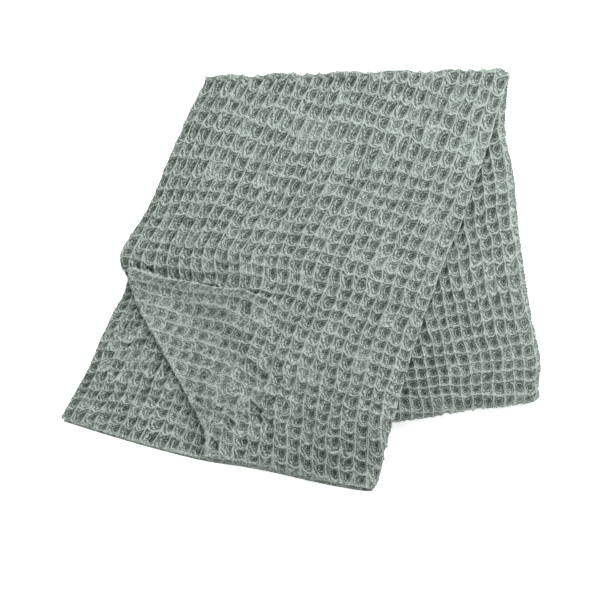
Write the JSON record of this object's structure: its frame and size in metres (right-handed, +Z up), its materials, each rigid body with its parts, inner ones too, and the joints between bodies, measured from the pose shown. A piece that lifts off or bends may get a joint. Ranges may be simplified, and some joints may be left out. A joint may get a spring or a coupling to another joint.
{
  "type": "bedspread",
  "caption": "Waffle-weave cotton bedspread, folded lengthwise and crosswise, lying flat with its top leg turned aside and a corner of the top layer tucked under.",
  "frame": {"origin": "middle of the bounding box, at the height of the surface that the folded bedspread lies on", "axes": "+Z up, +Y towards the rounded top fold, the free hem of the front leg lies towards -Y, +X to the right as seen from the hem"},
  "size_m": [0.5248, 0.5241, 0.0536],
  "materials": {
    "cotton": "matt sage-green waffle-weave cotton"
  },
  "bodies": {
    "root": {"bedspread": "cotton"}
  },
  "joints": []
}
